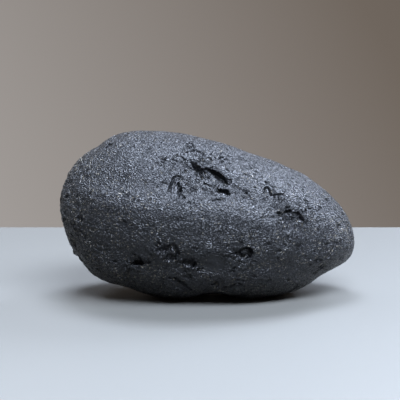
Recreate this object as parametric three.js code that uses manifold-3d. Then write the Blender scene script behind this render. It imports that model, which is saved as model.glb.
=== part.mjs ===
// An indochinite tektite: one splash-form pebble of natural black glass, blunt at one end and
// drawn out to a snout at the other, with a corroded, pitted skin. It is a single solid.
// Millimetres, +Z up. The stone lies on its two worn flats in the plane Z = 0, with its long
// axis along X and its display side facing -Y.
import * as THREE from "three";
import { mergeVertices } from "three/addons/utils/BufferGeometryUtils.js";
import Module from "manifold-3d";

// Driving dimensions.
const LENGTH = 62.3; // over the side outline below
const FRONT_DEPTH = 20.8; // from the heart of the stone to its display side
const BACK_DEPTH = 20.2;
const HEART = new THREE.Vector3(-4, 0, 17.5); // where the stone is thickest
const FULLNESS = 2.15; // 2 is an ellipsoid, more is boxier
const SNOUT_SWERVE = 1.6; // how far the tip of the snout bends away from the display side
const SKIN_DETAIL = 14; // each of the 20 starting faces becomes (SKIN_DETAIL + 1)^2 triangles
const SCOOP_DETAIL = 2;

// The stone's side outline in the XZ plane, from the snout over the top and back underneath.
// It dips under Z = 0 where the worn flats are cut.
const SIDE_OUTLINE = [
  [31.3, 11.7],
  [29.4, 17.2],
  [25.5, 21.7],
  [20.7, 25.3],
  [15.3, 27.8],
  [9.0, 30.0],
  [2.7, 32.1],
  [-9.9, 34.6],
  [-18.6, 34.2],
  [-22.9, 31.8],
  [-27.4, 28.4],
  [-30.1, 23.8],
  [-31.0, 18.9],
  [-28.7, 10.5],
  [-23.5, 4.2],
  [-19.0, 2.5],
  [-14.4, 1.3],
  [-7.0, -0.4],
  [1.0, -0.2],
  [9.0, -0.4],
  [17.8, 0.8],
  [21.3, 2.3],
  [24.7, 4.7],
  [30.3, 7.9],
];

// Broad swells of the body: place, reach and height, where a negative height is a hollow.
const SWELLS = [
  { at: [-9, -4, 0], reach: 6, height: 0.6 }, // the foot under the blunt half
  { at: [9, -4, 0], reach: 4.5, height: 0.7 }, // the foot under the snout half
  { at: [1.5, -7, 0], reach: 3.6, height: -1.7 }, // the gutter between the feet
  { at: [1.5, 0, 0], reach: 3.4, height: -0.6 }, // its saddle, which all but touches
  { at: [1.5, 7, 0], reach: 3.8, height: -1.7 },
  { at: [-16, -15, 25], reach: 6, height: 0.5 }, // the ridge down the display side's shoulder
  { at: [-25, -11, 21], reach: 7, height: -0.5 },
  { at: [0, -19, 22], reach: 6, height: -0.5 }, // the dish beside the deep gouge
  { at: [9, -17, 9], reach: 7, height: 0.6 },
  { at: [22, -13, 14], reach: 9, height: -1.1 }, // the snout's cheeks
  { at: [22, 13, 16], reach: 9, height: -1.4 },
  { at: [-8, 20, 22], reach: 10, height: -1.5 }, // the flatter stretch of the back
  { at: [11, 16, 23], reach: 7, height: 1.0 },
  { at: [6, 19, 9], reach: 7, height: -0.9 },
  { at: [-22, 13, 10], reach: 8, height: 0.9 },
  { at: [-23, 13, 27], reach: 7, height: -0.9 },
  { at: [-4, 10, 33], reach: 6, height: 0.7 },
  { at: [-16, 8, 2], reach: 6, height: -0.6 },
];

// The ways of looking at the stone square on, each with what is to the right and up from there.
const VIEWS = {
  display: { look: [0, 1, 0], right: [1, 0, 0], up: [0, 0, 1] },
  back: { look: [0, -1, 0], right: [-1, 0, 0], up: [0, 0, 1] },
  top: { look: [0, 0, -1], right: [1, 0, 0], up: [0, 1, 0] },
  under: { look: [0, 0, 1], right: [1, 0, 0], up: [0, -1, 0] },
  blunt: { look: [1, 0, 0], right: [0, -1, 0], up: [0, 0, 1] },
  snout: { look: [-1, 0, 0], right: [0, 1, 0], up: [0, 0, 1] },
};

// The scoops that corrosion left: the view that faces each, its place to the right and up in
// that view, its half length, half width and depth, and the turn of its length from level.
const SCOOPS = [
  { view: "display", at: [1.0, 27.4], size: [5.4, 1.4, 1.3], turn: -32 }, // the deep gouge
  { view: "display", at: [2.1, 24.2], size: [3.1, 0.9, 0.8], turn: -33 },
  { view: "display", at: [-5.5, 24.4], size: [2.7, 1.0, 0.8], turn: 97 },
  { view: "display", at: [-2.8, 31.3], size: [1.9, 0.6, 0.7], turn: -8 },
  { view: "display", at: [3.0, 29.8], size: [0.9, 0.8, 0.5], turn: 0 },
  { view: "display", at: [12.1, 23.5], size: [1.3, 0.9, 0.7], turn: 70 },
  { view: "display", at: [16.5, 18.0], size: [3.2, 2.6, 0.7], turn: -20 },
  { view: "display", at: [6.3, 12.2], size: [2.0, 1.8, 1.3], turn: 0 }, // the round pit
  { view: "display", at: [-13.8, 9.8], size: [1.5, 1.0, 1.4], turn: 15 },
  { view: "display", at: [-7.6, 13.8], size: [1.9, 1.4, 0.7], turn: 20 },
  { view: "display", at: [-3.6, 10.0], size: [1.6, 1.1, 0.9], turn: 0 },
  { view: "blunt", at: [4.5, 8.2], size: [3.2, 1.2, 0.9], turn: 8 }, // the notch in the outline
  { view: "blunt", at: [8, 12.4], size: [2.0, 1.0, 0.8], turn: 60 },
  { view: "blunt", at: [-6, 22], size: [2.0, 1.6, 0.8], turn: 0 },
  { view: "blunt", at: [-9, 12], size: [3.2, 1.1, 0.9], turn: 35 },
  { view: "back", at: [12, 24], size: [5.2, 1.2, 1.1], turn: 28 },
  { view: "back", at: [4, 15], size: [2.6, 2.3, 1.2], turn: 0 },
  { view: "back", at: [-6, 20], size: [3.6, 1.0, 0.9], turn: -55 },
  { view: "back", at: [-15, 14], size: [2.0, 1.7, 1.0], turn: 0 },
  { view: "back", at: [19, 14], size: [1.8, 1.5, 0.9], turn: 0 },
  { view: "back", at: [-8, 9], size: [3.0, 1.1, 0.8], turn: 12 },
  { view: "top", at: [-12, 7], size: [2.1, 1.7, 0.9], turn: 0 },
  { view: "top", at: [3, 10], size: [3.8, 1.0, 0.8], turn: 40 },
  { view: "top", at: [17, 3], size: [1.6, 1.4, 0.8], turn: 0 },
  { view: "snout", at: [5, 13], size: [2.3, 1.0, 0.8], turn: -35 },
  { view: "under", at: [-17, 5], size: [2.2, 1.5, 1.0], turn: 20 },
  { view: "under", at: [18, -5], size: [2.6, 1.2, 0.9], turn: -30 },
];

const wasm = await Module();
wasm.setup();

// A closed three.js geometry as a manifold-3d solid.
function solid(geometry) {
  const bare = geometry.clone();
  bare.deleteAttribute("normal");
  bare.deleteAttribute("uv");
  const merged = mergeVertices(bare, 1e-4);
  return new wasm.Manifold(
    new wasm.Mesh({
      numProp: 3,
      vertProperties: new Float32Array(merged.attributes.position.array),
      triVerts: new Uint32Array(merged.index.array),
    }),
  );
}

// A manifold-3d solid as a three.js geometry.
function geometryOf(made) {
  const mesh = made.getMesh();
  const geometry = new THREE.BufferGeometry();
  geometry.setAttribute("position", new THREE.BufferAttribute(mesh.vertProperties, 3));
  geometry.setIndex(new THREE.BufferAttribute(mesh.triVerts, 1));
  return geometry;
}

// The outline's distance from the heart at each angle round the Y axis, from a smooth closed curve.
function outlineRadius() {
  const SAMPLES = 720;
  const corners = SIDE_OUTLINE.map(([x, z]) => new THREE.Vector3(x, 0, z));
  const curve = new THREE.CatmullRomCurve3(corners, true, "centripetal");
  const spots = curve
    .getPoints(SAMPLES)
    .slice(0, SAMPLES)
    .map((p) => p.sub(HEART))
    .map((p) => ({ angle: Math.atan2(p.z, p.x), radius: Math.hypot(p.x, p.z) }))
    .sort((a, b) => a.angle - b.angle);
  const turn = 2 * Math.PI;
  const last = spots.at(-1);
  const first = spots[0];
  spots.unshift({ angle: last.angle - turn, radius: last.radius });
  spots.push({ angle: first.angle + turn, radius: first.radius });
  return (angle) => {
    const i = spots.findIndex((s) => s.angle >= angle);
    const [a, b] = [spots[i - 1], spots[i]];
    return THREE.MathUtils.mapLinear(angle, a.angle, b.angle, a.radius, b.radius);
  };
}

// The smooth pebble: every half plane through the heart's Y axis cuts it in a superellipse that
// runs from the side outline to the display side or the back. Swells and the swerve follow.
function pebble() {
  const geometry = new THREE.IcosahedronGeometry(1, SKIN_DETAIL);
  const radiusAt = outlineRadius();
  const position = geometry.attributes.position;
  const p = new THREE.Vector3();
  const spread = new THREE.Vector3(LENGTH / 2, FRONT_DEPTH, HEART.z);
  const snoutLength = LENGTH / 2 - HEART.x;
  for (let i = 0; i < position.count; i++) {
    p.fromBufferAttribute(position, i).multiply(spread).normalize();
    const across = Math.hypot(p.x, p.z) / radiusAt(Math.atan2(p.z, p.x));
    const deep = Math.abs(p.y) / (p.y < 0 ? FRONT_DEPTH : BACK_DEPTH);
    const radius = (across ** FULLNESS + deep ** FULLNESS) ** (-1 / FULLNESS);
    const out = p.clone();
    p.multiplyScalar(radius).add(HEART);
    for (const { at, reach, height } of SWELLS) {
      const far = p.distanceTo(new THREE.Vector3(...at)) / reach;
      p.addScaledVector(out, height * Math.exp(-far * far));
    }
    p.y += SNOUT_SWERVE * Math.max(0, (p.x - HEART.x) / snoutLength) ** 2;
    position.setXYZ(i, p.x, p.y, p.z);
  }
  return geometry;
}

// A long round-ended scoop, an ellipsoid centred on the skin and lying along it.
function scoop(skin, { view, at, size, turn }) {
  const [look, right, up] = ["look", "right", "up"].map((k) => new THREE.Vector3(...VIEWS[view][k]));
  const start = new THREE.Vector3().addScaledVector(right, at[0]).addScaledVector(up, at[1]);
  start.addScaledVector(look, -2 * LENGTH);
  const hit = new THREE.Raycaster(start, look).intersectObject(skin)[0];
  const angle = THREE.MathUtils.degToRad(turn);
  const along = right.multiplyScalar(Math.cos(angle)).addScaledVector(up, Math.sin(angle));
  const out = hit.face.normal.clone();
  along.projectOnPlane(out).normalize();
  const pose = new THREE.Matrix4().makeBasis(along, out.clone().cross(along), out).setPosition(hit.point);
  const geometry = new THREE.IcosahedronGeometry(1, SCOOP_DETAIL).scale(...size);
  return solid(geometry.applyMatrix4(pose));
}

// Everything under the plane that the stone lies on.
function groundSlab() {
  const THICK = 10;
  return solid(new THREE.BoxGeometry(2 * LENGTH, 2 * LENGTH, THICK).translate(0, 0, -THICK / 2));
}

const smooth = pebble();
const skin = new THREE.Mesh(smooth);
let body = solid(smooth);
for (const one of SCOOPS) {
  body = body.subtract(scoop(skin, one));
}
body = body.subtract(groundSlab());

const geometry = geometryOf(body);
geometry.computeBoundingBox();
const centre = geometry.boundingBox.getCenter(new THREE.Vector3());
geometry.translate(-centre.x, -centre.y, 0);

const glass = new THREE.MeshStandardMaterial({ color: 0x1d1e21, roughness: 0.5, metalness: 0 });
const tektite = new THREE.Mesh(geometry, glass);
tektite.name = "tektite";

const part = new THREE.Group();
part.add(tektite);
export default part;
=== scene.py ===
"""The visual model of an indochinite tektite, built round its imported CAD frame.

Lengths in the relief lists are millimetres, as a collector measures a stone. Every object that
is left in the scene is in metres.
"""

import math
from itertools import pairwise

import bmesh
import bpy
import numpy as np
from bpy.props import FloatProperty, FloatVectorProperty, IntProperty, PointerProperty
from mathutils import Matrix, Vector, noise
from mathutils.bvhtree import BVHTree
from mathutils.kdtree import KDTree


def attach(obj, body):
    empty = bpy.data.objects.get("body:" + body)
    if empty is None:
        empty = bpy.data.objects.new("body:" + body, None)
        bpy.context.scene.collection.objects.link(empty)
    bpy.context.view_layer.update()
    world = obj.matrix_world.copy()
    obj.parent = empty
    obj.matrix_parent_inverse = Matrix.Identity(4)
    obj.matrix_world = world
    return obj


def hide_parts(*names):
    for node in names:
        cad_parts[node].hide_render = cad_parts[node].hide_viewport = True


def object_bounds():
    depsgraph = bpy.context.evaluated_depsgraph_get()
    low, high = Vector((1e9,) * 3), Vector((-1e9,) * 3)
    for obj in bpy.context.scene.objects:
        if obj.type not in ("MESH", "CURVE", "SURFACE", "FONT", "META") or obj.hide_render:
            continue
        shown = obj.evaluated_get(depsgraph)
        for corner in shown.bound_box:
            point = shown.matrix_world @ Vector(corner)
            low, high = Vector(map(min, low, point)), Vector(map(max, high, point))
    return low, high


bl_info = {
    "name": "Indochinite Tektite",
    "version": (1, 0, 0),
    "blender": (4, 5, 0),
    "location": "View3D > Sidebar > Tektite",
    "description": "Builds a corroded pebble of black natural glass round its CAD frame",
    "category": "Add Mesh",
}

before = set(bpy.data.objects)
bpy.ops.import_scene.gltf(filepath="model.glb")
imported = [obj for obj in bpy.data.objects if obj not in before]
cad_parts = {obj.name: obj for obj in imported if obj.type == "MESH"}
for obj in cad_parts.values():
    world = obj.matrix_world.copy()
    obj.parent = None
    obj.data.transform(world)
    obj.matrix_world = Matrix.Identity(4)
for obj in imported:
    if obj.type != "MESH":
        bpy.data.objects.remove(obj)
CAD_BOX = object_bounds()

NODE = "tektite"
MM = 0.001


def linear(code):
    """The linear colour of an sRGB hex value such as "8090a0"."""
    parts = [int(code[i : i + 2], 16) / 255 for i in (0, 2, 4)]
    return tuple(c / 12.92 if c <= 0.04045 else ((c + 0.055) / 1.055) ** 2.4 for c in parts)


# ---------------------------------------------------------------------------------------------
# The relief of the skin
# ---------------------------------------------------------------------------------------------

# The ways of looking at the stone square on: which way one looks, and what is right and up.
VIEWS = {
    "display": ((0, 1, 0), (1, 0, 0), (0, 0, 1)),
    "back": ((0, -1, 0), (-1, 0, 0), (0, 0, 1)),
    "top": ((0, 0, -1), (1, 0, 0), (0, 1, 0)),
    "under": ((0, 0, 1), (1, 0, 0), (0, -1, 0)),
    "blunt": ((1, 0, 0), (0, -1, 0), (0, 0, 1)),
    "snout": ((-1, 0, 0), (0, 1, 0), (0, 0, 1)),
}

# How a hollow falls off from its middle, at 0, to its edge, at 1.
WALLS = {
    "slot": lambda r: 1 - r**4,  # near upright walls and a flat floor
    "bowl": lambda r: 1 - r**2,  # a crisp edge and a round floor
    "dent": lambda r: (1 - r**2) ** 2,  # no edge at all
}

# Each hollow is cut along a path over the skin: the view that faces it, its walls, and then for
# each point of the path the place to the right and up in that view, the half width and the depth.
HOLLOWS = [
    # The deep gouge of the display side, with a lobe at its upper end and the fingers at its foot.
    ("display", "slot", (-3.6, 29.8, 0.3, 0.9), (-3.0, 29.1, 0.6, 1.6), (-2.3, 28.3, 1.0, 2.0),
     (-1.6, 27.8, 0.95, 2.0), (-0.9, 27.6, 0.55, 1.5)),
    ("display", "slot", (-3.5, 28.5, 0.3, 0.8), (-3.0, 28.2, 0.4, 1.0)),
    ("display", "slot", (-2.4, 27.8, 0.3, 1.3), (-2.3, 27.0, 0.22, 0.8)),
    ("display", "slot", (-1.7, 27.5, 0.35, 1.3), (-1.4, 26.5, 0.24, 0.8)),
    ("display", "slot", (-0.9, 27.5, 0.3, 1.1), (-0.6, 26.8, 0.22, 0.7)),
    # The hairline over the gouge, and the long slit that runs on from it to the snout's side.
    ("display", "slot", (-3.8, 30.0, 0.18, 0.4), (-2.8, 30.0, 0.2, 0.5), (-1.7, 29.6, 0.22, 0.6),
     (-0.9, 29.4, 0.2, 0.6)),
    ("display", "slot", (-1.0, 28.0, 0.3, 0.7), (-0.1, 28.0, 0.4, 0.9), (0.8, 27.6, 0.55, 1.4),
     (1.6, 27.1, 0.7, 1.7), (2.4, 26.4, 0.75, 1.7), (3.1, 25.8, 0.6, 1.4), (4.2, 25.2, 0.25, 0.5)),
    ("display", "bowl", (0.6, 28.4, 0.3, 0.4)),
    # The lower pair of grooves, and the soft valley that they peter out in.
    ("display", "slot", (-0.9, 25.6, 0.25, 0.41), (-0.2, 25.2, 0.38, 1.1), (0.3, 24.6, 0.44, 1.4),
     (0.7, 24.1, 0.31, 0.81)),
    ("display", "slot", (1.7, 23.7, 0.38, 0.68), (2.5, 23.9, 0.62, 1.6), (3.3, 23.7, 0.75, 1.9),
     (3.8, 23.3, 0.5, 0.81)),
    ("display", "slot", (3, 25.1, 0.25, 0.81), (3.5, 24.9, 0.28, 0.81)),
    ("display", "dent", (4.8, 25.1, 0.7, 0.25), (5.6, 24.6, 0.8, 0.35), (6.5, 24.1, 0.7, 0.3),
     (7.8, 23.8, 0.6, 0.2)),
    ("display", "dent", (5.1, 23.3, 1.0, 0.25), (7.3, 22.7, 1.3, 0.35), (8.8, 21.9, 1.0, 0.2)),
    ("display", "slot", (0.6, 22, 0.22, 0.34), (1.6, 22.1, 0.25, 0.41), (2.3, 22, 0.22, 0.34)),
    ("display", "bowl", (6.1, 24.5, 0.3, 0.35)),
    ("display", "slot", (7, 24, 0.25, 0.54), (7.5, 23.8, 0.25, 0.54)),
    ("display", "slot", (6.8, 22.7, 0.22, 0.47), (7.2, 22.9, 0.22, 0.41)),
    ("display", "slot", (9, 24.7, 0.25, 0.54), (9.3, 24.6, 0.25, 0.41)),
    ("display", "bowl", (8.6, 21.4, 0.3, 0.4)),
    # The tongue-shaped pit: the line round its finger, the wedge beside the finger and its floor.
    ("display", "slot", (-5.4, 26.8, 0.26, 0.6), (-6.1, 27.2, 0.28, 0.8), (-6.8, 26.8, 0.3, 0.9),
     (-7.3, 25.7, 0.3, 0.9), (-7.6, 24.8, 0.3, 0.8), (-7.7, 23.9, 0.25, 0.5)),
    ("display", "slot", (-6.0, 25.7, 0.22, 0.6), (-5.8, 25.1, 0.35, 1.0), (-5.5, 24.6, 0.5, 1.5),
     (-5.2, 24.2, 0.3, 0.8)),
    ("display", "slot", (-6.2, 25.4, 0.2, 0.6), (-6.2, 24.6, 0.2, 0.7), (-6.1, 24.0, 0.2, 0.5)),
    ("display", "bowl", (-5.9, 23.3, 1.0, 0.6), (-5.7, 22.6, 0.8, 0.45)),
    ("display", "slot", (-5.1, 22.7, 0.25, 0.5), (-4.8, 22.5, 0.25, 0.4)),
    # Nicks between the beads under the gouge.
    ("display", "slot", (-5.0, 26.8, 0.15, 0.3), (-5.2, 26.3, 0.15, 0.3)),
    ("display", "slot", (-4.4, 25.4, 0.2, 0.35), (-4.2, 25.2, 0.2, 0.35)),
    ("display", "slot", (-3.3, 24.7, 0.15, 0.25), (-2.9, 24.9, 0.15, 0.25)),
    ("display", "bowl", (-3.7, 23.5, 0.25, 0.25)),
    ("display", "slot", (-4.2, 21.7, 0.2, 0.3), (-3.8, 21.8, 0.2, 0.3)),
    # The bubble's pit with its deeper far rim, the slit under it and the small pits of the crest.
    ("display", "bowl", (-3.8, 32.2, 1.15, 0.6)),
    ("display", "slot", (-4.4, 32.6, 0.25, 0.5), (-3.8, 32.9, 0.3, 0.6), (-3.2, 32.6, 0.3, 0.6),
     (-2.9, 32.0, 0.25, 0.5)),
    ("display", "slot", (-5.1, 31.2, 0.15, 0.4), (-3.8, 31.3, 0.22, 0.6), (-2.6, 31.6, 0.45, 1.1),
     (-1.7, 31.2, 0.35, 0.7)),
    ("display", "slot", (-6.2, 30.8, 0.28, 0.6)),
    ("display", "slot", (-5.6, 30.6, 0.2, 0.5), (-5.0, 30.3, 0.3, 0.8), (-4.5, 29.9, 0.3, 0.8),
     (-4.1, 29.8, 0.2, 0.5)),
    ("display", "slot", (-7.2, 30.2, 0.25, 0.4), (-6.6, 29.9, 0.3, 0.6), (-6.2, 29.8, 0.25, 0.4)),
    ("display", "slot", (-9.5, 30.2, 0.25, 0.4), (-8.9, 30.2, 0.35, 0.5), (-8.2, 29.9, 0.25, 0.4)),
    ("display", "bowl", (-8.6, 28.6, 0.3, 0.3)),
    ("display", "bowl", (-7.5, 28.1, 0.3, 0.3)),
    ("display", "slot", (-0.5, 30.1, 0.2, 0.4), (0.3, 30.2, 0.3, 0.6), (0.6, 29.7, 0.25, 0.5)),
    ("display", "slot", (2.0, 29.9, 0.2, 0.4), (2.7, 30.2, 0.3, 0.6), (3.4, 29.7, 0.2, 0.5)),
    ("display", "slot", (3.6, 29.7, 0.15, 0.3), (4.3, 29.7, 0.15, 0.25)),
    ("display", "slot", (4.0, 30.3, 0.15, 0.3), (4.6, 30.2, 0.15, 0.25)),
    ("display", "slot", (5.7, 29.8, 0.15, 0.25), (6.4, 29.9, 0.15, 0.3), (7.3, 29.6, 0.15, 0.25)),
    ("display", "slot", (2.2, 30.4, 0.18, 0.4)),
    ("display", "slot", (3.6, 28.1, 0.28, 0.5)),
    ("display", "slot", (3.9, 27.8, 0.22, 0.45)),
    ("display", "slot", (-9.8, 32.2, 0.2, 0.4)),
    # The three arch-shaped cuts.
    ("display", "slot", (11.0, 23.6, 0.16, 0.5), (11.2, 24.4, 0.24, 0.8), (11.9, 24.6, 0.24, 0.9),
     (12.2, 23.8, 0.3, 1.0), (12.4, 23.0, 0.3, 0.9)),
    ("display", "slot", (12.9, 22.9, 0.24, 0.7), (13.3, 23.2, 0.28, 0.8), (13.8, 22.9, 0.28, 0.8),
     (13.9, 22.2, 0.24, 0.6)),
    ("display", "slot", (13.9, 23.1, 0.22, 0.6), (14.5, 23.2, 0.28, 0.8), (15.3, 22.8, 0.22, 0.5)),
    # The nest of pits on the snout's side, in a dent that a crease leads to.
    ("display", "dent", (16.2, 17.8, 3.4, 0.4)),
    ("display", "dent", (9.6, 18.7, 0.4, 0.2), (11.4, 18.7, 0.5, 0.3), (13.2, 18.8, 0.4, 0.3)),
    ("display", "slot", (15.4, 20.5, 0.23, 0.68), (16.1, 20.6, 0.23, 0.68)),
    ("display", "slot", (15.5, 19.8, 0.4, 1.2), (16.4, 19.7, 0.4, 1.2)),
    ("display", "slot", (13.5, 19.6, 0.32, 1.1), (14.1, 19.5, 0.34, 1.1), (14.6, 19.2, 0.25, 0.68)),
    ("display", "slot", (13.7, 19, 0.29, 0.94)),
    ("display", "slot", (15.1, 19.2, 0.29, 0.94)),
    ("display", "slot", (17, 19.4, 0.25, 0.81), (17.8, 19.4, 0.29, 0.94), (18.3, 18.7, 0.4, 1.2),
     (18.8, 18, 0.52, 1.5), (19.2, 17.5, 0.34, 0.81)),
    ("display", "slot", (17, 18.3, 0.29, 0.81), (16.5, 18, 0.29, 0.94), (16.1, 17.4, 0.29, 0.81)),
    ("display", "slot", (14.4, 18.2, 0.29, 0.81), (14.8, 17.4, 0.4, 1.1)),
    ("display", "slot", (15.9, 16.7, 0.25, 0.68), (15.3, 16.1, 0.23, 0.68)),
    ("display", "slot", (16.1, 15.6, 0.25, 0.68), (16, 15, 0.23, 0.54)),
    ("display", "bowl", (18.2, 20.6, 0.3, 0.35)),
    ("display", "slot", (19.5, 19.7, 0.32, 0.81)),
    ("display", "slot", (20.1, 20, 0.17, 0.41), (20.9, 19.9, 0.17, 0.41)),
    ("display", "bowl", (22.4, 19.4, 0.25, 0.4)),
    ("display", "slot", (27.6, 17, 0.23, 0.54)),
    ("display", "slot", (26.3, 15.8, 0.23, 0.41), (26.7, 15.8, 0.23, 0.41)),
    ("display", "slot", (26.3, 12.2, 0.4, 0.54)),
    # The round pit low down, with the crescent cut round its dome.
    ("display", "bowl", (6.9, 12.3, 1.9, 0.5)),
    ("display", "slot", (5.8, 13.2, 0.25, 0.6), (6.3, 13.5, 0.25, 0.7), (7.3, 13.7, 0.28, 0.8),
     (8.1, 13.3, 0.32, 1.1), (8.4, 12.3, 0.36, 1.2), (8.1, 11.4, 0.3, 0.9), (7.3, 10.8, 0.25, 0.5)),
    ("display", "slot", (4.2, 12.2, 0.25, 0.6), (5.1, 12.6, 0.28, 0.8)),
    ("display", "slot", (5.4, 11.5, 0.25, 0.6)),
    # The black hole near the blunt end, and the dent that runs down from it.
    ("display", "slot", (-15.3, 9.3, 0.35, 0.8), (-14.2, 9.7, 0.75, 1.8), (-13.1, 9.9, 0.5, 1.3)),
    ("display", "slot", (-13.6, 11.5, 0.25, 0.6), (-13.4, 10.7, 0.4, 1.3)),
    ("display", "dent", (-15.8, 8.2, 0.5, 0.3), (-16.7, 6.6, 0.5, 0.3)),
    # The bowls over the blunt foot.
    ("display", "bowl", (-9.4, 12.8, 0.9, 0.35), (-8.1, 13.4, 1.2, 0.55), (-6.9, 14.0, 1.1, 0.45)),
    ("display", "bowl", (-6.4, 13.9, 0.5, 0.6), (-6.0, 12.5, 0.6, 0.9), (-6.2, 11.7, 0.4, 0.6)),
    ("display", "slot", (-9.2, 13.3, 0.28, 0.6)),
    ("display", "slot", (-8.6, 12.9, 0.22, 0.5)),
    ("display", "bowl", (-8.4, 11.0, 0.5, 0.4)),
    ("display", "bowl", (-4.7, 10.4, 0.9, 0.5), (-3.6, 10.2, 1.1, 0.7)),
    ("display", "slot", (-3.3, 11.2, 0.25, 0.6), (-2.8, 10.6, 0.35, 0.9), (-2.7, 9.8, 0.35, 0.9),
     (-3.2, 9.3, 0.3, 0.6)),
    ("display", "slot", (-4.8, 10.6, 0.25, 0.7), (-5.0, 9.9, 0.25, 0.6)),
    ("display", "slot", (-7.8, 6.6, 0.35, 0.4), (-6.6, 6.5, 0.5, 0.7), (-5.4, 5.4, 0.6, 0.9),
     (-4.2, 4.4, 0.55, 0.8), (-3.4, 3.6, 0.35, 0.4)),
    # The hole over the saddle, and the line round the dome on the snout foot.
    ("display", "slot", (0.8, 4.9, 0.35, 0.8), (1.8, 5.1, 0.4, 0.9)),
    ("display", "slot", (4.3, 4.2, 0.25, 0.3), (5.0, 5.1, 0.28, 0.45), (6.2, 5.4, 0.28, 0.45),
     (7.0, 4.7, 0.25, 0.35)),
    # Odd pits and dents of the two ends.
    ("display", "dent", (-15.2, 24.3, 0.6, 0.15), (-14.5, 24.7, 0.6, 0.15)),
    ("display", "dent", (-13.3, 26.1, 0.6, 0.15), (-10.8, 25.5, 0.6, 0.15)),
    ("display", "bowl", (-25.9, 18.1, 0.4, 0.4)),
    ("display", "bowl", (-26.8, 16.8, 0.5, 0.5)),
    ("display", "bowl", (-26.3, 14.3, 0.5, 0.5)),
    ("display", "bowl", (-25.5, 15.5, 0.35, 0.4)),
    ("display", "bowl", (-23.8, 10.6, 0.35, 0.3)),
    ("display", "bowl", (25.5, 11.3, 0.5, 0.3)),
    ("display", "bowl", (22.1, 9.2, 0.5, 0.3)),
    # The notch in the outline of the blunt end, and that end's other scoops.
    ("blunt", "slot", (0.8, 8.0, 0.4, 0.4), (2.8, 8.1, 0.6, 0.9), (5.5, 8.4, 0.5, 0.5)),
    ("blunt", "bowl", (7.0, 11.3, 0.4, 0.3), (7.7, 12.5, 0.7, 0.5), (8.4, 13.8, 0.4, 0.3)),
    ("blunt", "bowl", (-6.4, 21.9, 1.5, 0.4)),
    ("blunt", "slot", (-7.6, 22.7, 0.35, 0.6), (-6.4, 23.1, 0.4, 0.7)),
    ("blunt", "slot", (-11.4, 10.5, 0.3, 0.3), (-9.4, 12.1, 0.6, 0.7), (-7.4, 13.5, 0.3, 0.4)),
    ("blunt", "bowl", (-0.5, 25.0, 0.6, 0.4)),
    ("blunt", "bowl", (1.4, 17.2, 0.7, 0.4), (2.6, 16.4, 0.5, 0.4)),
    # The back: a long gouge with a side cut, a domed bowl, a slit and lesser scoops.
    ("back", "slot", (7.9, 21.8, 0.3, 0.4), (10.1, 22.9, 0.6, 0.8), (12.3, 24.1, 0.8, 1.0),
     (14.4, 25.2, 0.6, 0.8), (16.5, 26.3, 0.3, 0.4)),
    ("back", "slot", (10.4, 24.1, 0.3, 0.5), (12.9, 25.5, 0.4, 0.6)),
    ("back", "bowl", (4.1, 15.1, 2.2, 0.5)),
    ("back", "slot", (2.4, 16.1, 0.4, 0.5), (4.0, 16.9, 0.45, 0.8), (5.7, 16.2, 0.4, 0.6)),
    ("back", "slot", (-7.8, 22.8, 0.25, 0.3), (-6.5, 21.0, 0.5, 0.8), (-5.4, 19.3, 0.55, 0.8),
     (-4.2, 17.5, 0.3, 0.3)),
    ("back", "bowl", (-14.8, 14.2, 1.4, 0.4), (-16.0, 15.3, 0.7, 0.5)),
    ("back", "bowl", (19.1, 14.1, 1.2, 0.4), (20.2, 14.9, 0.5, 0.6)),
    ("back", "slot", (-10.4, 8.7, 0.35, 0.3), (-7.9, 9.2, 0.7, 0.5), (-5.5, 9.7, 0.35, 0.3)),
    ("back", "bowl", (-1.0, 25.5, 0.7, 0.5), (0.2, 26.1, 0.6, 0.4)),
    ("back", "bowl", (9.0, 9.5, 0.8, 0.5)),
    ("back", "dent", (-20.0, 20.0, 1.6, 0.35), (-17.5, 21.5, 1.4, 0.3)),
    # The top, the snout and the underside.
    ("top", "bowl", (-12.2, 7.3, 1.5, 0.4), (-13.4, 8.0, 0.6, 0.5)),
    ("top", "slot", (0.6, 8.2, 0.25, 0.3), (2.9, 10.3, 0.5, 0.6), (5.2, 12.2, 0.3, 0.3)),
    ("top", "bowl", (16.9, 3.3, 1.2, 0.4), (17.7, 4.1, 0.5, 0.5)),
    ("top", "bowl", (-6.0, 2.0, 0.6, 0.4), (-4.8, 2.6, 0.5, 0.4)),
    ("top", "slot", (-20.5, 1.0, 0.35, 0.4), (-19.0, 2.2, 0.4, 0.5)),
    ("snout", "slot", (3.9, 14.1, 0.3, 0.3), (5.3, 13.1, 0.6, 0.6), (6.8, 12.0, 0.3, 0.3)),
    ("snout", "bowl", (-3.5, 15.0, 0.7, 0.5)),
    ("under", "bowl", (-18.3, 4.3, 0.8, 0.4), (-16.2, 5.0, 1.0, 0.6)),
    ("under", "slot", (16.4, -4.4, 0.4, 0.3), (17.9, -5.3, 0.7, 0.5), (19.4, -6.2, 0.4, 0.3)),
    ("under", "bowl", (-20.0, -6.0, 0.8, 0.5)),
    ("under", "bowl", (17.0, 6.5, 0.9, 0.5), (18.3, 7.2, 0.6, 0.4)),
]

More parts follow.
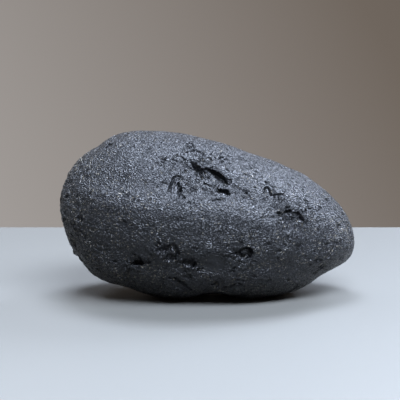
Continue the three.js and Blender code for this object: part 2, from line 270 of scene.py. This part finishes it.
# Beads and low ridges that stand between hollows, in the same form: the last number is a height,
# and a bowl is a bead with a crisp foot.
RIDGES = [
    # The bubble, and the beads along the crest.
    ("display", "bowl", (-3.8, 32.2, 0.7, 1.1)),
    ("display", "bowl", (-3.8, 30.9, 0.33, 0.42)),
    ("display", "bowl", (-2.5, 30.8, 0.35, 0.49)),
    ("display", "bowl", (-5.4, 30, 0.35, 0.49)),
    ("display", "bowl", (-4.5, 29.3, 0.55, 0.7)),
    ("display", "bowl", (-6.8, 29.5, 0.42, 0.49)),
    ("display", "bowl", (-9.3, 29.4, 0.46, 0.49)),
    ("display", "bowl", (-8.5, 30.5, 0.39, 0.42)),
    ("display", "bowl", (-0.2, 29.7, 0.46, 0.56)),
    ("display", "bowl", (2.7, 29.5, 0.53, 0.7)),
    # The lip between the hairline and the gouge, and the beads along the gouge's foot.
    ("display", "dent", (-2.8, 29.6, 0.35, 0.3), (-2.1, 29.3, 0.4, 0.4), (-1.5, 29.0, 0.35, 0.35)),
    ("display", "bowl", (-4, 26.7, 0.44, 0.56)),
    ("display", "bowl", (-3.4, 26.2, 0.35, 0.49)),
    ("display", "bowl", (-2.2, 26.4, 0.46, 0.56)),
    ("display", "bowl", (-1.1, 26.9, 0.35, 0.56)),
    ("display", "bowl", (-0.1, 27, 0.39, 0.49)),
    # The finger of the tongue-shaped pit, with its knob, and the core left in the wedge.
    ("display", "bowl", (-6, 26.4, 0.53, 0.7)),
    ("display", "bowl", (-6.1, 26.3, 0.33, 0.55), (-6.6, 25.5, 0.34, 0.6), (-6.8, 24.5, 0.32, 0.55),
     (-6.9, 23.4, 0.36, 0.55), (-6.7, 22.6, 0.33, 0.4)),
    ("display", "bowl", (-5.8, 24.2, 0.24, 1.3)),
    # The tongues between the slit and the lower grooves.
    ("display", "dent", (0.2, 26.6, 0.5, 0.45), (1.4, 25.6, 0.6, 0.6), (2.4, 24.9, 0.5, 0.5)),
    ("display", "bowl", (-0.5, 25, 0.31, 0.49), (0, 24.3, 0.35, 0.56), (0.6, 23.7, 0.35, 0.56),
     (1.1, 23.3, 0.33, 0.42)),
    ("display", "bowl", (2.1, 24.7, 0.5, 0.49)),
    ("display", "bowl", (2.5, 22.7, 0.61, 0.63)),
    ("display", "bowl", (8.3, 20.6, 0.44, 0.49)),
    ("display", "dent", (5.7, 20.7, 0.3, 0.15), (6.5, 20.2, 0.3, 0.15)),
    # What stands inside the arch-shaped cuts.
    ("display", "bowl", (11.5, 24.0, 0.25, 0.5), (11.6, 23.3, 0.28, 0.6), (11.6, 22.7, 0.28, 0.5)),
    ("display", "dent", (11.0, 22.6, 0.45, 0.3)),
    ("display", "bowl", (13.3, 22.4, 0.27, 0.45)),
    ("display", "bowl", (13.4, 21.8, 0.33, 0.49)),
    ("display", "bowl", (14.4, 22.4, 0.42, 0.5), (15.0, 22.4, 0.38, 0.45)),
    # Crumbs in the nest.
    ("display", "bowl", (15.6, 18.7, 0.42, 0.77)),
    ("display", "bowl", (17, 17.2, 0.44, 0.7)),
    ("display", "bowl", (17.5, 17.7, 0.46, 0.63), (18.6, 17.3, 0.42, 0.63)),
    ("display", "bowl", (13.9, 17.6, 0.46, 0.56)),
    ("display", "bowl", (13.6, 18.4, 0.35, 0.49)),
    ("display", "bowl", (14.9, 16.7, 0.33, 0.49)),
    ("display", "bowl", (14.7, 15.5, 0.42, 0.56)),
    ("display", "bowl", (15.4, 14.5, 0.46, 0.56)),
    ("display", "bowl", (16.9, 14.8, 0.35, 0.42)),
    ("display", "dent", (25.5, 12.2, 0.35, 0.3)),
    # The dome in the round pit, and the crumbs round it.
    ("display", "bowl", (6.8, 12.4, 1.15, 1.0)),
    ("display", "bowl", (4.6, 11.7, 0.39, 0.63)),
    ("display", "bowl", (6.1, 10.8, 0.5, 0.7)),
    ("display", "bowl", (6.6, 10.6, 0.39, 0.56)),
    ("display", "bowl", (8.3, 10.1, 0.31, 0.42)),
    ("display", "bowl", (5.9, 15.2, 0.35, 0.42)),
    ("display", "bowl", (6.4, 15, 0.35, 0.42)),
    ("display", "bowl", (4.7, 13.8, 0.28, 0.35)),
    # Crumbs along the lower rims of the bowls over the blunt foot.
    ("display", "bowl", (-11.2, 12.1, 0.31, 0.42)),
    ("display", "bowl", (-10.5, 12.8, 0.39, 0.49)),
    ("display", "bowl", (-9.9, 12.3, 0.44, 0.56)),
    ("display", "bowl", (-8.2, 12.7, 0.31, 0.56)),
    ("display", "bowl", (-7.1, 13.7, 0.5, 0.49), (-6.8, 12.7, 0.44, 0.49)),
    ("display", "bowl", (-7.8, 10.6, 0.44, 0.7)),
    ("display", "bowl", (-7, 11.3, 0.35, 0.49)),
    ("display", "bowl", (-6.3, 10.9, 0.35, 0.49)),
    ("display", "bowl", (-5.3, 11, 0.39, 0.56)),
    ("display", "bowl", (-4.4, 9.1, 0.39, 0.56)),
    ("display", "bowl", (-3.8, 9.2, 0.42, 0.63)),
    ("display", "bowl", (-3.1, 9, 0.39, 0.56)),
    # Lower still: by the black hole, on the blunt foot and on the snout foot.
    ("display", "dent", (-13.8, 8.4, 0.35, 0.25)),
    ("display", "dent", (-15.8, 8.3, 0.35, 0.25)),
    ("display", "bowl", (-17.7, 6.1, 0.44, 0.42)),
    ("display", "bowl", (-12.9, 7.3, 0.39, 0.35)),
    ("display", "dent", (-8.6, 5.2, 0.7, 0.3), (-7.3, 4.7, 0.8, 0.35), (-5.7, 3.9, 0.7, 0.3)),
    ("display", "bowl", (-9.1, 5.4, 0.39, 0.42)),
    ("display", "bowl", (5.8, 4.1, 0.9, 0.4)),
    ("display", "bowl", (7.1, 3.7, 0.33, 0.49)),
    ("display", "bowl", (1.9, 4.4, 0.33, 0.49)),
    # The lip over the notch of the blunt end.
    ("blunt", "dent", (1.0, 9.4, 0.6, 0.3), (2.8, 9.2, 0.7, 0.5), (4.6, 9.5, 0.6, 0.3)),
    # On the back.
    ("back", "dent", (12.6, 23.0, 0.5, 0.3), (14.8, 24.2, 0.5, 0.3)),
    ("back", "dent", (3.9, 14.6, 1.0, 0.6)),
    ("back", "dent", (-15.0, 13.6, 0.5, 0.3)),
]


# Broad swells that give the pebble its shoulders, in the same form.
SWELLS = [
    # The belly of the display side: a plateau above it, and a quick turn to the underside below.
    ("display", "dent", (-25.0, 17.5, 6.0, 0.6), (-19.0, 18.0, 8.0, 1.3), (-13.0, 18.4, 9.5, 1.9),
     (-6.0, 18.4, 10.0, 2.1), (1.0, 17.8, 9.5, 1.9), (8.0, 16.2, 8.0, 1.5), (14.5, 13.6, 6.0, 1.0)),
]

# The edge that runs along the belly where the plateau turns down, in the same form.
SHOULDERS = [
    ("display", "dent", (-26.0, 23.0, 3.6, 0.5), (-20.0, 22.2, 4.4, 0.85), (-12.0, 21.2, 4.8, 1.0),
     (-5.0, 20.3, 4.8, 1.05), (2.0, 19.6, 4.8, 1.05), (9.0, 18.4, 4.4, 0.9), (16.0, 15.6, 3.5, 0.4)),
]

# Smooth random waves of the skin: their height and width in mm, their seed and their stretch.
LUMPS = ((0.16, 9, 1), (0.11, 4, 2))
ETCHING = ((0.05, 1.5, 6, (1.5, 1.5, 0.6)), (0.045, 0.6, 7))

# How far, over what width and with what seed the places that are cut get pushed about, in mm.
PUSHES = ((0.14, 1.4, 10), (0.07, 0.5, 20))

# The blunt end is etched the deepest: where that starts along X, over how long a way it grows, and
# how many times the usual depth is added in the end.
BLUNT_START, BLUNT_RUN, BLUNT_GAIN = -14, 12, 2.2

# How high over the table the relief starts, and over how much more it grows to its full height.
FOOT_CLEAR, FOOT_FADE = 0.1, 0.8

FOOT_WEAR = 0.03  # what is cut off the lowest points, so that they are flat
GLAZED_HEIGHT = 0.35  # where a bead is this high or higher, it is at its smoothest

PIT_LIMITS = (0.16, 0.9)  # the least and the greatest half width of a strewn pit
PIT_SPREAD = 0.38  # how much their widths differ, as the spread of the logarithm
PIT_RUN = (0.8, 0.8, 0.4)  # how far they run along each axis, in half widths: mostly level
CROWD_REACH = 2.2  # how far from a hollow they crowd
CALM_HEIGHT = 4  # up to here they thin out towards the table

OUTSIDE = 100  # well outside the stone


def ripple(points, width, seed, stretch=(1, 1, 1)):
    """Smooth noise from -1 to 1 whose swells are about `width` mm wide, times `stretch`."""
    shift = np.random.default_rng(seed).uniform(-90, 90, 3)
    spots = points / (width * np.array(stretch)) + shift
    return np.array([noise.noise(spot) for spot in spots.tolist()])


def waves(points, kinds):
    """The sum of some random waves, such as LUMPS, at each point."""
    return sum(high * ripple(points, *kind) for high, *kind in kinds)


def sway(points, width, seed):
    """A smooth random push in three directions, each from about -1 to 1."""
    return np.stack([ripple(points, width, seed + i) for i in range(3)], axis=1)


def placed(tree, view, right, up):
    """The point of the skin that is `right` and `up` from the origin in one of the VIEWS."""
    look, across, over = (Vector(way) for way in VIEWS[view])
    start = across * right + over * up - look * OUTSIDE
    hit = tree.ray_cast(start, look)[0]
    if hit is None:
        raise RuntimeError(f"nothing to cut at {right}, {up} in the {view} view")
    return np.array(hit)


def laid_out(tree, cuts):
    """A list such as HOLLOWS, with each step of its paths as a point of the skin, width and depth."""
    return [
        (walls, [(placed(tree, view, right, up), wide, deep) for right, up, wide, deep in path])
        for view, walls, *path in cuts
    ]


def strewn(skin, hollows, settings):
    """Small pits all over the skin, thickest round the hollows, and mostly long and level."""
    rng = np.random.default_rng(settings.pit_seed)
    points = places(skin)
    normals = np.array([v.normal for v in skin.verts])
    finder = KDTree(sum(len(spots) for _, spots in hollows))
    for i, spot in enumerate(spot for _, spots in hollows for spot, _, _ in spots):
        finder.insert(spot, i)
    finder.balance()
    far = np.array([finder.find(point)[2] for point in points.tolist()])
    patchy = np.clip(0.25 + 0.5 * ripple(points, 6, 30), 0.05, 1)
    crowd = patchy + 0.5 * np.exp(-((far / CROWD_REACH) ** 2))
    crowd *= np.clip(points[:, 2] / CALM_HEIGHT, 0, 1)
    chance = crowd / crowd.sum()
    cuts = []
    for pick in rng.choice(len(points), size=settings.pit_count, replace=False, p=chance):
        wide = np.clip(rng.lognormal(math.log(settings.pit_width / MM), PIT_SPREAD), *PIT_LIMITS)
        way = rng.normal(size=3) * PIT_RUN
        way -= normals[pick] * (way @ normals[pick])
        deep = wide * rng.uniform(0.5, 1.0)
        far_end = (points[pick] + way * wide, wide * rng.uniform(0.6, 1), deep)
        ends = (points[pick], wide, deep), far_end
        cuts.append((rng.choice(["slot", "bowl"]), ends))
    return cuts


def cut_out(points, cuts):
    """How far the cuts move each point: 0 outside them all, and the deepest one's depth inside."""
    moved = np.zeros(len(points))
    finder = KDTree(len(points))
    for i, point in enumerate(points.tolist()):
        finder.insert(point, i)
    finder.balance()
    for walls, spots in cuts:
        steps = spots if len(spots) > 1 else spots * 2
        for (a, wide_a, deep_a), (b, wide_b, deep_b) in pairwise(steps):
            run = b - a
            reach = np.linalg.norm(run) / 2 + max(wide_a, wide_b)
            near = [i for _, i, _ in finder.find_range((a + b) / 2, reach)]
            if not near:
                continue
            t = np.clip((points[near] - a) @ run / max(run @ run, 1e-9), 0, 1)
            gap = np.linalg.norm(points[near] - a - t[:, None] * run, axis=1)
            r = np.minimum(gap / (wide_a + (wide_b - wide_a) * t), 1)
            depth = WALLS[walls](r) * (deep_a + (deep_b - deep_a) * t)
            moved[near] = np.maximum(moved[near], depth)
    return moved


def wander(points):
    """The points pushed about a little, so that what is cut at them comes out irregular."""
    bent = points
    for far, width, seed in PUSHES:
        bent = bent + far * sway(points, width, seed)
    return bent


def relief(points, swells, shoulders, hollows, ridges, pits):
    """How far out of the smooth pebble the corroded skin stands at each point, in mm."""
    height = cut_out(points, swells) + cut_out(points, shoulders)
    height += waves(points, LUMPS)
    bent = wander(points)
    rough = 1 + 0.2 * ripple(points, 0.7, 5)  # the floors of the hollows are uneven
    height += cut_out(bent, ridges) - cut_out(bent, hollows) * rough - cut_out(bent, pits)
    coarse = 1 + BLUNT_GAIN * np.clip((BLUNT_START - points[:, 0]) / BLUNT_RUN, 0, 1)
    height += coarse * waves(points, ETCHING)
    return height * np.clip((points[:, 2] - FOOT_CLEAR) / FOOT_FADE, 0, 1)


# ---------------------------------------------------------------------------------------------
# The stone
# ---------------------------------------------------------------------------------------------


def even_skin(node, step, passes):
    """A CAD node as a bmesh in millimetres, evenly meshed and with its facets smoothed away."""
    start = bpy.data.objects.new("even_skin", node.data.copy())
    start.data.transform(Matrix.Scale(1 / MM, 4))
    bpy.context.scene.collection.objects.link(start)
    even = start.modifiers.new("even", "REMESH")
    even.mode = "VOXEL"
    even.voxel_size = step
    smooth = start.modifiers.new("smooth", "SMOOTH")
    smooth.factor = 0.5
    smooth.iterations = passes
    graph = bpy.context.evaluated_depsgraph_get()
    mesh = bpy.data.meshes.new_from_object(start.evaluated_get(graph))
    bpy.data.objects.remove(start)
    skin = bmesh.new()
    skin.from_mesh(mesh)
    return skin


def places(skin):
    """The vertices of a bmesh as an array of points."""
    return np.array([v.co for v in skin.verts])


def refine(skin, cuts, count):
    """Splits in four the `count` faces over which the relief bends most, display side first."""
    skin.verts.index_update()
    skin.normal_update()
    corners = relief(places(skin), *cuts)
    middles = relief(np.array([face.calc_center_median() for face in skin.faces]), *cuts)
    faces = list(skin.faces)
    bend = []
    for face, middle in zip(faces, middles):
        heights = corners[[v.index for v in face.verts]]
        size = abs(middle - heights.mean()) + 0.25 * np.ptp([*heights, middle])
        bend.append(size * (1.4 - 0.6 * face.normal.y))  # the display side looks along -Y
    bent = [faces[i] for i in np.argsort(bend)[-count:]]
    edges = list({edge for face in bent for edge in face.edges})
    bmesh.ops.subdivide_edges(skin, edges=edges, cuts=1, use_grid_fill=True)


def corroded(node, settings):
    """The stone's finished mesh in metres: relief cut into the smooth pebble, on flat feet."""
    skin = even_skin(node, settings.skin_step / MM, settings.facet_passes)
    skin.normal_update()
    tree = BVHTree.FromBMesh(skin)
    kinds = (SWELLS, SHOULDERS, HOLLOWS, RIDGES)
    swells, shoulders, hollows, ridges = (laid_out(tree, kind) for kind in kinds)
    cuts = (swells, shoulders, hollows, ridges, strewn(skin, hollows, settings))
    for count in (settings.first_splits, settings.second_splits, settings.third_splits):
        refine(skin, cuts, count)
    skin.normal_update()
    points = places(skin)
    normals = np.array([v.normal for v in skin.verts])
    glazed = np.clip(cut_out(wander(points), ridges) / GLAZED_HEIGHT, 0, 1)
    points += normals * relief(points, *cuts)[:, None]
    points[:, 2] = np.maximum(points[:, 2] - points[:, 2].min() - FOOT_WEAR, 0)
    # Each half of each axis is fitted to the CAD box. Nothing is under the table, so a number
    # just below 0 keeps the division possible.
    low, high = (np.array(corner) / MM for corner in CAD_BOX)
    before, after = low / np.minimum(points.min(axis=0), -0.001), high / points.max(axis=0)
    points *= np.where(points < 0, before, after)
    for vert, point in zip(skin.verts, points * MM):
        vert.co = point
    bmesh.ops.triangulate(skin, faces=skin.faces)
    mesh = bpy.data.meshes.new("tektite_skin")
    skin.to_mesh(mesh)
    skin.free()
    mesh.attributes.new("glazed", "FLOAT", "POINT").data.foreach_set("value", glazed)
    mesh.shade_smooth()
    return mesh


def add_node(tree, kind, links=(), **settings):
    """Adds a shader node with its settings, and links (its input, another node's output)."""
    node = tree.nodes.new(kind)
    for name, value in settings.items():
        if name.startswith("in_"):
            node.inputs[int(name[3:])].default_value = value
        else:
            setattr(node, name, value)
    for socket, source in links:
        tree.links.new(source, node.inputs[socket])
    return node


def new_material(name):
    """A node material with nothing in it but a Principled shader, which is returned too."""
    material = bpy.data.materials.new(name)
    material.use_nodes = True
    return material, material.node_tree, material.node_tree.nodes["Principled BSDF"]


def times(tree, one, other):
    """One socket's value times another's."""
    return add_node(tree, "ShaderNodeMath", [(0, one), (1, other)], operation="MULTIPLY").outputs[0]


def mapped(tree, source, before, after, kind="LINEAR"):
    """A socket's values, mapped from one range to another and kept inside it."""
    (low, high), (new_low, new_high) = before, after
    limits = {"in_1": low, "in_2": high, "in_3": new_low, "in_4": new_high}
    node = add_node(tree, "ShaderNodeMapRange", [(0, source)], interpolation_type=kind, **limits)
    return node.outputs[0]


def eased(tree, source, before, after=(0, 1)):
    """The same, with a soft start and a soft end."""
    return mapped(tree, source, before, after, "SMOOTHSTEP")


def away_from(tree, place, spot):
    """How far each place is from a spot."""
    node = add_node(tree, "ShaderNodeVectorMath", [(0, place)], operation="DISTANCE", in_1=spot)
    return node.outputs["Value"]


def speckle(tree, place, size, detail=0):
    """Smooth noise from 0 to 1, with grains of about `size`."""
    links = [("Vector", place)]
    return add_node(tree, "ShaderNodeTexNoise", links, in_2=1 / size, in_3=detail).outputs[0]


# Places on the stone or close to it, in mm: the spot that is rubbed bald, the blunt end's tip,
# and the place near the top round which the least clay, with its painted glints, is left.
BALD_SPOT = (1, -17, 9.8)
BLUNT_TIP = (-30, -4, 12)
CROWN = (4, -8, 30)

# How large the patterns of the skin are, and how deep its two bumps, in mm.
CUP_SIZE, GRAIN_SIZE, CLAY_AND_GLINT_SIZE, PATCH_SIZE = 0.42, 0.28, 0.32, 4
CUP_DEPTH, GRAIN_DEPTH = 0.48, 0.36


def etched_tektite_glass(settings):
    """Natural black glass, melted and then etched by ground water.

    The glass is so dark that hardly any light comes back out of it, so what the eye sees is its
    gloss, broken up by the etched grain into a satin with glints. How fine the real grain is
    isn't known, and it is drawn coarse enough to show.
    """
    material, tree, shader = new_material("etched tektite glass")
    shader.inputs["IOR"].default_value = 1.49
    shader.inputs["Specular IOR Level"].default_value = 0.34  # the finest pits swallow the rest
    where = add_node(tree, "ShaderNodeTexCoord").outputs["Object"]
    place = add_node(tree, "ShaderNodeMapping", [("Vector", where)], in_3=(1 / MM,) * 3).outputs[0]
    # The glass flowed while it was soft, so its grain lies level: longer than it is high.
    lying = add_node(tree, "ShaderNodeMapping", [("Vector", place)], in_3=(1, 1, 1.5)).outputs[0]

    # How deeply it is etched: not at all in the round spot low on the display side that has been
    # rubbed bald, little on the beads and ridges, and the deepest on the blunt end.
    beads = add_node(tree, "ShaderNodeAttribute", attribute_name="glazed").outputs["Fac"]
    etched = eased(tree, away_from(tree, place, BALD_SPOT), (1.6, 3.6))
    etched = times(tree, etched, mapped(tree, beads, (0, 1), (1, 0.22)))
    etched = times(tree, etched, eased(tree, away_from(tree, place, BLUNT_TIP), (6, 20), (1.9, 1)))

    # Cups that have eaten into the skin: sunk, and matt inside. Beads are the glossiest.
    rims = eased(tree, speckle(tree, lying, CUP_SIZE), (0.36, 0.46))
    links = [("Height", times(tree, rims, etched))]
    sunk = add_node(tree, "ShaderNodeBump", links, in_0=1, in_1=CUP_DEPTH * MM)
    matt = mapped(tree, rims, (0, 1), (0.85, 0.3))
    matt = times(tree, matt, mapped(tree, beads, (0, 1), (1, 0.5)))
    tree.links.new(matt, shader.inputs["Roughness"])

    # The grain between them, whose tops are worn a little paler.
    grain = speckle(tree, lying, GRAIN_SIZE)
    links = [("Height", times(tree, grain, etched)), ("Normal", sunk.outputs[0])]
    fine = add_node(tree, "ShaderNodeBump", links, in_0=1, in_1=GRAIN_DEPTH * MM)
    tree.links.new(fine.outputs[0], shader.inputs["Normal"])
    glass = add_node(
        tree,
        "ShaderNodeMix",
        [(0, eased(tree, grain, (0.45, 0.55)))],
        data_type="RGBA",
        in_6=(*settings.glass_colour, 1),
        in_7=(*settings.worn_colour, 1),
    )

    # Grains of the clay that it lay in, in patches, and with them painted glints: the same pale
    # specks stand in for light caught by the glass. They stay on its ends and its underside.
    spots = speckle(tree, place, CLAY_AND_GLINT_SIZE)
    patches = speckle(tree, place, PATCH_SIZE, detail=2)
    kept = mapped(tree, away_from(tree, place, CROWN), (16, 36), (0, 0.11))
    links = [(0, patches), (2, spots)]
    level = add_node(tree, "ShaderNodeMath", links, operation="MULTIPLY_ADD", in_1=0.25)
    level = add_node(tree, "ShaderNodeMath", [(0, level.outputs[0]), (1, kept)], operation="ADD")
    # Clay grains and painted glints share this one pale colour, mixed into the glass here.
    skin = add_node(
        tree,
        "ShaderNodeMix",
        [(0, eased(tree, level.outputs[0], (0.92, 0.96))), (6, glass.outputs[2])],
        data_type="RGBA",
        in_7=(*settings.clay_and_glint_colour, 1),
    )
    tree.links.new(skin.outputs[2], shader.inputs["Base Color"])
    return material


# ---------------------------------------------------------------------------------------------
# The add-on
# ---------------------------------------------------------------------------------------------


class StoneSettings(bpy.types.PropertyGroup):
    """Sizes and colours of the stone."""

    skin_step: FloatProperty(
        name="Skin step",
        description="Mesh spacing before the steep places are refined",
        default=0.55 * MM,
        unit="LENGTH",
    )
    pit_count: IntProperty(
        name="Pit count",
        description="How many small pits are strewn over the skin",
        default=1000,
    )
    pit_width: FloatProperty(
        name="Pit width",
        description="Usual half width of the small pits",
        default=0.26 * MM,
        unit="LENGTH",
    )
    pit_seed: IntProperty(name="Pit seed", description="Picks where the small pits lie", default=7)
    facet_passes: IntProperty(
        name="Facet passes",
        description="Smoothing passes that take away the flat facets of the CAD solid",
        default=20,
    )
    first_splits: IntProperty(
        name="First splits",
        description="Faces to split in four in the first round, most bent first",
        default=8200,
    )
    second_splits: IntProperty(
        name="Second splits",
        description="Faces to split in four in the second round, most bent first",
        default=6200,
    )
    third_splits: IntProperty(
        name="Third splits",
        description="Faces to split in four in the third round, most bent first",
        default=3200,
    )
    glass_colour: FloatVectorProperty(
        name="Glass colour",
        description="Colour of the glass itself under its etched skin",
        subtype="COLOR",
        default=linear("040405"),
    )
    worn_colour: FloatVectorProperty(
        name="Worn colour",
        description="Colour of the worn tops of the grain",
        subtype="COLOR",
        default=linear("111214"),
    )
    # Pale specks of clay, partly painted glints of light.
    clay_and_glint_colour: FloatVectorProperty(
        name="Clay colour",
        description="Colour of the grains of clay that cling to the skin",
        subtype="COLOR",
        default=linear("6a6456"),
    )


class StageSettings(bpy.types.PropertyGroup):
    """The table, the light and the camera."""

    table_colour: FloatVectorProperty(
        name="Table colour",
        description="Colour of the table top",
        subtype="COLOR",
        default=linear("504f4a"),
    )
    wall_colour: FloatVectorProperty(
        name="Wall colour",
        description="Colour of the room's lighter side",
        subtype="COLOR",
        default=linear("a5a09d"),
    )
    corner_colour: FloatVectorProperty(
        name="Corner colour",
        description="Colour of the room's darker side",
        subtype="COLOR",
        default=linear("6f665e"),
    )
    dark_colour: FloatVectorProperty(
        name="Dark colour",
        description="Colour of the rest of the room",
        subtype="COLOR",
        default=linear("4e453d"),
    )
    light_colour: FloatVectorProperty(
        name="Light colour",
        description="Colour of the soft boxes",
        subtype="COLOR",
        default=linear("dae7ff"),
    )
    light_power: FloatProperty(
        name="Light power",
        description="Power of all the soft boxes together",
        default=35,
        unit="POWER",
    )
    camera_height: FloatProperty(
        name="Camera height",
        description="How far the camera looks down from level",
        default=math.radians(8),
        subtype="ANGLE",
    )
    camera_distance: FloatProperty(
        name="Camera distance",
        description="From the camera to the place that it aims at",
        default=0.234,
        unit="LENGTH",
    )


class TEKTITE_OT_stone(bpy.types.Operator):
    """Builds the corroded stone and puts it in the place of its CAD solid"""

    bl_idname = "tektite.stone"
    bl_label = "Stone"

    def execute(self, context):
        settings = context.scene.tektite_stone
        stone = bpy.data.objects.new("tektite_stone", corroded(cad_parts[NODE], settings))
        context.scene.collection.objects.link(stone)
        stone.data.materials.append(etched_tektite_glass(settings))
        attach(stone, "root")
        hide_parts(NODE)
        return {"FINISHED"}


# The soft boxes: turn from the camera's side towards the snout and height in degrees, distance,
# width and depth in metres, and share of the light's power.
SOFT_BOXES = (
    ("front_box", 22, 49, 0.35, 0.28, 0.14, 0.25),
    ("top_box", 180, 75, 0.7, 0.3, 0.28, 0.43),
    ("rear_box", 135, 36, 0.7, 0.3, 0.35, 0.26),
    ("rim_box", 222, 45, 0.7, 0.27, 0.3, 0.06),
)

AIM = Vector((-1.68, 0.32, 2.83)) * MM  # where the camera aims, from the middle of the stone
LENS, SENSOR = 100, 36  # in mm


def table_top(settings):
    """A plain painted table top whose back edge is a short way behind the stone."""
    top = bmesh.new()
    bmesh.ops.create_cube(top, size=1)
    width, depth, thick, back = 3.0, 1.6, 0.025, 0.089
    bmesh.ops.scale(top, vec=(width, depth, thick), verts=top.verts)
    bmesh.ops.translate(top, vec=(0, back - depth / 2, -thick / 2), verts=top.verts)
    bmesh.ops.bevel(top, geom=top.edges[:], offset=0.002, segments=3, affect="EDGES", profile=0.5)
    mesh = bpy.data.meshes.new("table_top")
    top.to_mesh(mesh)
    top.free()
    mesh.materials.append(painted_board(settings))
    return bpy.data.objects.new("table_top", mesh)


def painted_board(settings):
    """Board with a sprayed satin paint: one even warm grey and a faint, broad sheen."""
    material, _, shader = new_material("satin painted board")
    shader.inputs["Base Color"].default_value = (*settings.table_colour, 1)
    shader.inputs["Roughness"].default_value = 0.5
    return material


def room_light(world, settings):
    """The room: dark all round but for a lit stretch of wall that fades towards one side."""
    world.use_nodes = True
    tree = world.node_tree
    links = [(0, add_node(tree, "ShaderNodeTexCoord").outputs["Generated"])]
    along = add_node(tree, "ShaderNodeVectorMath", links, operation="DOT_PRODUCT", in_1=(0.87, 0, 0.5))
    share = mapped(tree, along.outputs["Value"], (-1, 1), (0, 1))
    shade = add_node(tree, "ShaderNodeValToRGB", [(0, share)])
    stops = shade.color_ramp.elements
    stops[0].position, stops[0].color = 0.2, (*settings.dark_colour, 1)
    stops[1].position, stops[1].color = 0.57, (*settings.corner_colour, 1)
    stops.new(0.36).color = (*settings.wall_colour, 1)
    stops.new(0.75).color = (*settings.dark_colour, 1)
    tree.links.new(shade.outputs[0], tree.nodes["Background"].inputs["Color"])


def soft_box(scene, settings, centre, name, turn, height, distance, width, depth, share):
    """Hangs one of the SOFT_BOXES, turned towards the stone."""
    box = bpy.data.lights.new(name, "AREA")
    box.shape = "RECTANGLE"
    box.size, box.size_y = width, depth
    box.energy = settings.light_power * share
    box.color = settings.light_colour
    lamp = bpy.data.objects.new(name, box)
    turn, height = math.radians(turn), math.radians(height)
    level = math.cos(height)
    way = Vector((math.sin(turn) * level, -math.cos(turn) * level, math.sin(height)))
    lamp.location = centre + way * distance
    lamp.rotation_euler = way.to_track_quat("Z", "Y").to_euler()
    scene.collection.objects.link(lamp)


def set_camera(scene, settings, centre):
    """Sets up the camera, which looks down a little on the display side."""
    data = bpy.data.cameras.new("camera")
    data.lens = LENS
    data.sensor_width = SENSOR
    data.dof.use_dof = False
    camera = bpy.data.objects.new("camera", data)
    back = Vector((0, -math.cos(settings.camera_height), math.sin(settings.camera_height)))
    camera.location = centre + AIM + back * settings.camera_distance
    camera.rotation_euler = back.to_track_quat("Z", "Y").to_euler()
    scene.collection.objects.link(camera)
    scene.camera = camera


class TEKTITE_OT_stage(bpy.types.Operator):
    """Sets out the table, the soft light, the room and the camera"""

    bl_idname = "tektite.stage"
    bl_label = "Stage"

    def execute(self, context):
        scene = context.scene
        settings = scene.tektite_stage
        table = table_top(settings)
        scene.collection.objects.link(table)
        scene.world = scene.world or bpy.data.worlds.new("room")
        room_light(scene.world, settings)
        scene.view_settings.view_transform = "Standard"

        low, high = CAD_BOX
        centre = (low + high) / 2
        for row in SOFT_BOXES:
            soft_box(scene, settings, centre, *row)
        set_camera(scene, settings, centre)
        return {"FINISHED"}


class TEKTITE_PT_panel(bpy.types.Panel):
    """Lists the steps that build the model"""

    bl_idname = "TEKTITE_PT_panel"
    bl_label = "Tektite"
    bl_space_type = "VIEW_3D"
    bl_region_type = "UI"
    bl_category = "Tektite"

    def draw(self, context):
        for settings in (context.scene.tektite_stone, context.scene.tektite_stage):
            for name in settings.__annotations__:
                self.layout.prop(settings, name)
        for step in (TEKTITE_OT_stone, TEKTITE_OT_stage):
            self.layout.operator(step.bl_idname)


CLASSES = (StoneSettings, StageSettings, TEKTITE_OT_stone, TEKTITE_OT_stage, TEKTITE_PT_panel)


def register():
    for one in CLASSES:
        bpy.utils.register_class(one)
    bpy.types.Scene.tektite_stone = PointerProperty(type=StoneSettings)
    bpy.types.Scene.tektite_stage = PointerProperty(type=StageSettings)


def unregister():
    del bpy.types.Scene.tektite_stage
    del bpy.types.Scene.tektite_stone
    for one in reversed(CLASSES):
        bpy.utils.unregister_class(one)


def main():
    register()
    bpy.ops.tektite.stage()
    bpy.ops.tektite.stone()


if __name__ == "__main__":
    main()
